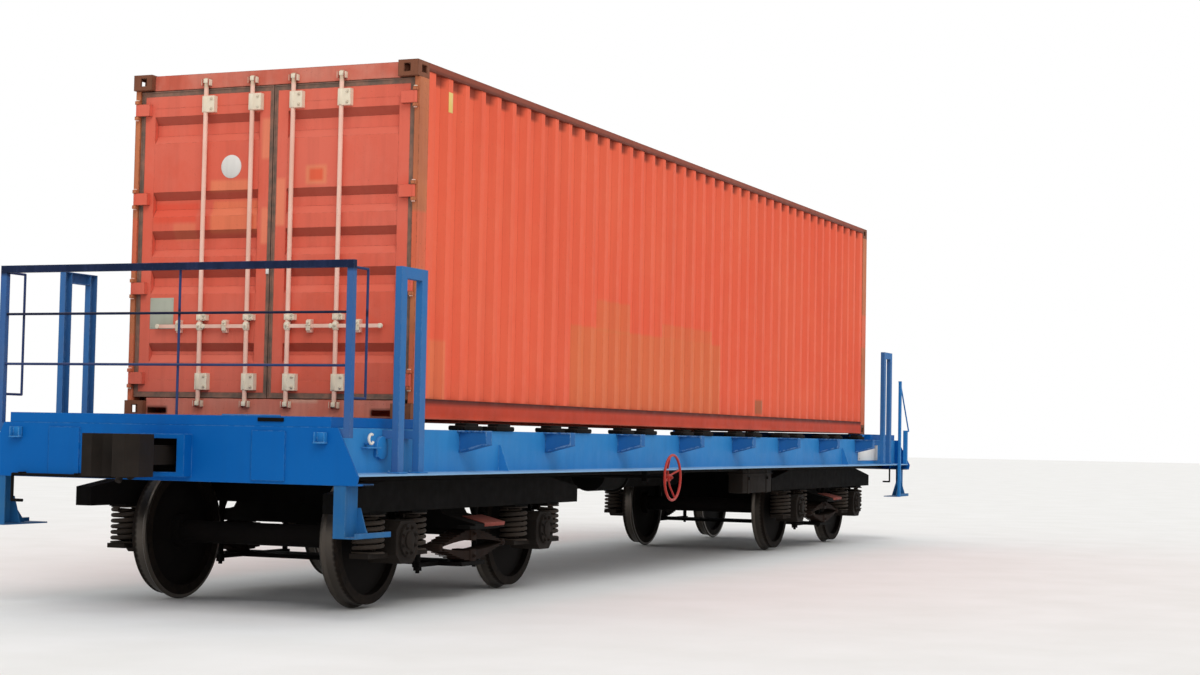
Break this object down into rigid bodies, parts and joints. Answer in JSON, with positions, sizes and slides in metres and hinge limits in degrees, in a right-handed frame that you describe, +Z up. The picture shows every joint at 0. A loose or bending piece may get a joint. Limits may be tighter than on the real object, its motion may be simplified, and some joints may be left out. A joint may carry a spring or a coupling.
{
  "type": "container flatcar",
  "caption": "Bogie flatcar carrying a corrugated freight container: sprung bogies turn under the frame, wheels roll, and the container's rear doors swing open.",
  "frame": {"origin": "on the ground plane through the lowest points of the wheel flanges, midway between the bogies and between the sides", "axes": "+X along the car away from the container's doors, +Z up"},
  "size_m": [16.026, 3.042, 3.949],
  "materials": {
    "frame_paint": "worn gloss paint, blue",
    "underframe_steel": "matt black paint under brake dust and rust",
    "container_paint": "faded red-orange container paint",
    "rusty_paint": "red-brown paint with rust",
    "wheel_steel": "rolled steel, brown outside the tread",
    "cast_steel": "rough cast steel with brake dust",
    "spring_steel": "rust-brown spring steel",
    "gasket_rubber": "weathered door rubber",
    "zinc_steel": "dull zinc coating under dust",
    "floor_wood": "worn plywood floor",
    "red_paint": "red gloss paint"
  },
  "bodies": {
    "car": {"air_reservoir": "underframe_steel", "body_bolsters": "underframe_steel", "bottom_side_rails": "container_paint", "brake_cylinder": "underframe_steel", "center_plates": "cast_steel", "center_sill": "underframe_steel", "container_floor": "floor_wood", "container_seats": "frame_paint", "corner_castings": "rusty_paint", "corner_steps": "frame_paint", "couplers": "cast_steel", "cross_beams": "underframe_steel", "door_end_frame": "container_paint", "door_posts": "rusty_paint", "end_beams": "frame_paint", "end_platforms": "frame_paint", "floor_members": "container_paint", "front_end_frame": "container_paint", "front_panel": "container_paint", "front_posts": "rusty_paint", "grab_posts": "frame_paint", "hand_loops": "frame_paint", "hand_shaft": "underframe_steel", "hand_wheel": "red_paint", "outriggers_far": "frame_paint", "outriggers_near": "frame_paint", "rail_frame": "frame_paint", "rail_rods": "frame_paint", "roof_panel": "container_paint", "seat_bearers": "underframe_steel", "side_guards": "frame_paint", "side_panel_far": "container_paint", "side_panel_near": "container_paint", "side_sill_far": "frame_paint", "side_sill_near": "frame_paint", "top_side_rails": "container_paint"},
    "bogie_a": {"axle_boxes_a": "cast_steel", "coil_springs_a": "underframe_steel", "bogie_frame_a": "underframe_steel", "bogie_bolster_a": "spring_steel", "leaf_springs_a": "spring_steel", "spring_plank_a": "underframe_steel", "brake_rigging_a": "underframe_steel"},
    "bogie_b": {"axle_boxes_b": "cast_steel", "coil_springs_b": "underframe_steel", "bogie_frame_b": "underframe_steel", "bogie_bolster_b": "spring_steel", "leaf_springs_b": "spring_steel", "spring_plank_b": "underframe_steel", "brake_rigging_b": "underframe_steel"},
    "wheels_a_a": {"wheelset_a_a": "wheel_steel"},
    "wheels_a_b": {"wheelset_a_b": "wheel_steel"},
    "wheels_b_a": {"wheelset_b_a": "wheel_steel"},
    "wheels_b_b": {"wheelset_b_b": "wheel_steel"},
    "door_right_leaf": {"door_right": "container_paint", "door_gasket_right": "gasket_rubber", "lock_bars_right": "zinc_steel"},
    "door_left_leaf": {"door_left": "container_paint", "door_gasket_left": "gasket_rubber", "lock_bars_left": "zinc_steel"}
  },
  "joints": [
    {"name": "bogie_a_turn", "type": "hinge", "parent": "car", "child": "bogie_a", "pos_m": [-4.785, 0, 0.912], "axis": [0, 0, 1], "range_deg": [-4, 4]},
    {"name": "wheels_a_a_roll", "type": "hinge", "parent": "bogie_a", "child": "wheels_a_a", "pos_m": [-5.985, 0, 0.503], "axis": [0, 1, 0], "continuous": true},
    {"name": "wheels_a_b_roll", "type": "hinge", "parent": "bogie_a", "child": "wheels_a_b", "pos_m": [-3.585, 0, 0.503], "axis": [0, 1, 0], "continuous": true},
    {"name": "bogie_b_turn", "type": "hinge", "parent": "car", "child": "bogie_b", "pos_m": [4.785, 0, 0.912], "axis": [0, 0, 1], "range_deg": [-4, 4]},
    {"name": "wheels_b_a_roll", "type": "hinge", "parent": "bogie_b", "child": "wheels_b_a", "pos_m": [3.585, 0, 0.503], "axis": [0, 1, 0], "continuous": true},
    {"name": "wheels_b_b_roll", "type": "hinge", "parent": "bogie_b", "child": "wheels_b_b", "pos_m": [5.985, 0, 0.503], "axis": [0, 1, 0], "continuous": true},
    {"name": "door_right_swing", "type": "hinge", "parent": "car", "child": "door_right_leaf", "pos_m": [-6.076, -1.192, 2.65], "axis": [0, 0, 1], "range_deg": [0, 90]},
    {"name": "door_left_swing", "type": "hinge", "parent": "car", "child": "door_left_leaf", "pos_m": [-6.076, 1.192, 2.65], "axis": [0, 0, -1], "range_deg": [0, 90]}
  ]
}
